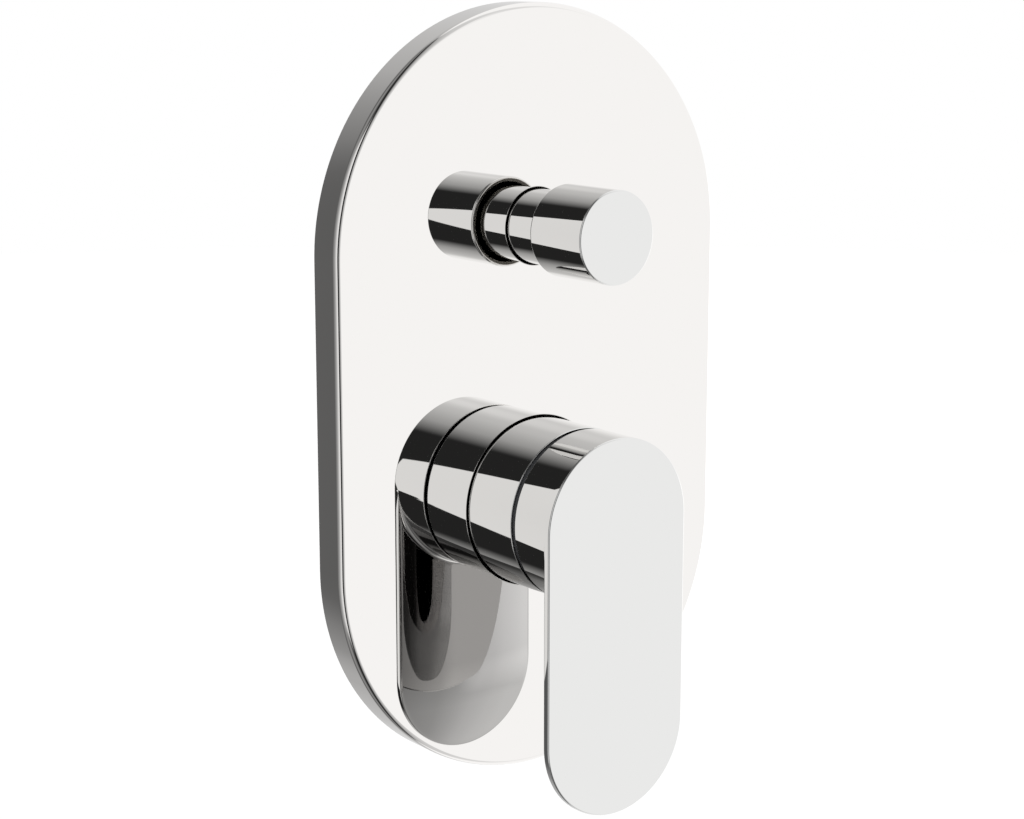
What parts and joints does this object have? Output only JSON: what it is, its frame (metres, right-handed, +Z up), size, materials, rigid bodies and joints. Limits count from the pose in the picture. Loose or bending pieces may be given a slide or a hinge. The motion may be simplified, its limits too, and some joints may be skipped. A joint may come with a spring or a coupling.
{
  "type": "concealed shower mixer",
  "caption": "Obround wall plate with a single-lever mixer below and a pull diverter knob above, on a concealed brass valve body with threaded inlets and outlets.",
  "frame": {"origin": "centre of the cover plate's outline, in the plane of the finished wall that the plate seats on", "axes": "+X to the right as seen from the room, +Y into the wall, +Z up; the controls stand out along -Y"},
  "size_m": [0.12, 0.0886, 0.2003],
  "materials": {
    "chrome": "polished chrome plate on brass",
    "cast_brass": "as cast, blasted, with turned faces",
    "turned_brass": "turned",
    "stainless": "plain stainless steel",
    "black_acetal": "moulded, satin",
    "grey_nylon": "moulded, satin",
    "white_acetal": "moulded, satin",
    "red_nylon": "moulded, satin",
    "ceramic": null,
    "rubber": "moulded nitrile rubber",
    "fibre": "pressed fibre sheet",
    "foam": "closed-cell foam"
  },
  "bodies": {
    "fixed": {"valve_body": "cast_brass", "escutcheon": "chrome", "wall_gasket": "foam", "mixer_sleeve": "chrome", "sleeve_oring": "rubber", "glide_ring": "black_acetal", "cartridge_nut": "turned_brass", "limit_ring": "red_nylon", "cartridge_housing": "white_acetal", "cartridge_base": "grey_nylon", "base_seals": "rubber", "fixed_disc": "ceramic", "diverter_sleeve": "chrome", "neck_oring": "rubber", "seat_insert": "turned_brass", "seat_seals": "rubber", "seat_circlip": "stainless", "diverter_bonnet": "turned_brass", "bonnet_gasket": "fibre", "rod_oring": "rubber"},
    "turning": {"rotor": "white_acetal", "pivot_pin": "stainless"},
    "lifting": {"lever": "chrome", "spindle": "turned_brass", "lever_screw": "stainless", "lever_plug": "chrome"},
    "disc": {"moving_disc": "ceramic", "disc_carrier": "white_acetal"},
    "diverter": {"diverter_knob": "chrome", "diverter_rod": "turned_brass", "front_washer": "rubber", "rear_washer": "rubber", "rear_disc": "turned_brass", "rod_clip": "stainless"}
  },
  "joints": [
    {"name": "lever_swing", "type": "hinge", "parent": "fixed", "child": "turning", "pos_m": [0, 0, -0.0275], "axis": [0, 1, 0], "range_deg": [-50, 50]},
    {"name": "lever_lift", "type": "hinge", "parent": "turning", "child": "lifting", "pos_m": [0, -0.0207, -0.0275], "axis": [-1, 0, 0], "range_deg": [0, 24]},
    {"name": "disc_slide", "type": "slide", "parent": "turning", "child": "disc", "axis": [0, 0, -1], "range_m": [0, 0.006]},
    {"name": "diverter_pull", "type": "slide", "parent": "fixed", "child": "diverter", "axis": [0, -1, 0], "range_m": [0, 0.007]}
  ],
  "couplings": [
    {"joint": "disc_slide", "follows": "lever_lift", "m_per_rad": 0.014196}
  ]
}
